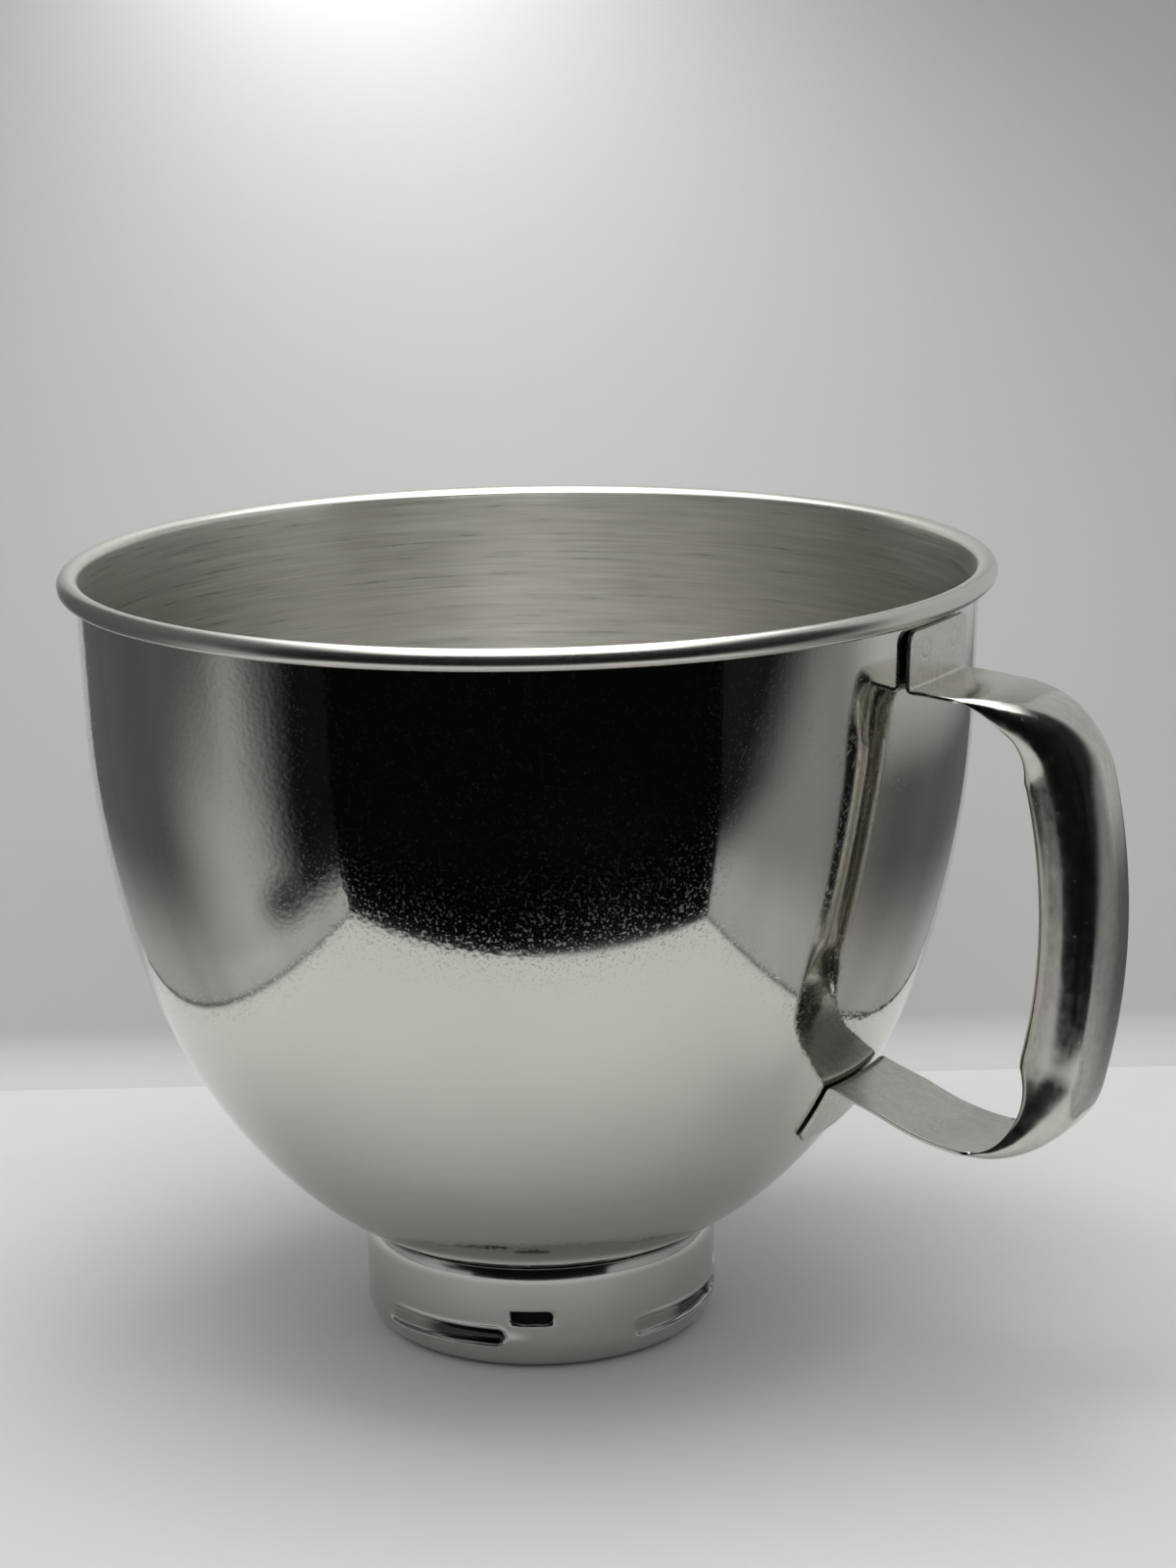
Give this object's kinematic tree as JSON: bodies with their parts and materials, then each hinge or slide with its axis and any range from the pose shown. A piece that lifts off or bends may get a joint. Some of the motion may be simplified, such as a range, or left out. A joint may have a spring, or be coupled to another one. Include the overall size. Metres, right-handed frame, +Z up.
{
  "type": "stand mixer bowl",
  "caption": "Deep round-bottomed polished steel mixing bowl with a rolled rim, a bayonet foot ring and a stamped strap handle on one side.",
  "frame": {"origin": "on the bowl's axis, in the plane of the foot's standing flange", "axes": "+Z up along the bowl's axis towards its mouth, +X towards the handle"},
  "size_m": [0.2636, 0.222, 0.19],
  "materials": {
    "bowl_steel": "mirror-polished outside, brushed satin inside",
    "foot_steel": "polished",
    "handle_steel": "polished, finely pitted",
    "weld_metal": "dull"
  },
  "bodies": {
    "root": {"bowl_shell": "bowl_steel", "foot_collar": "foot_steel", "handle": "handle_steel", "upper_handle_welds": "weld_metal", "lower_handle_welds": "weld_metal", "foot_welds": "weld_metal"}
  },
  "joints": []
}
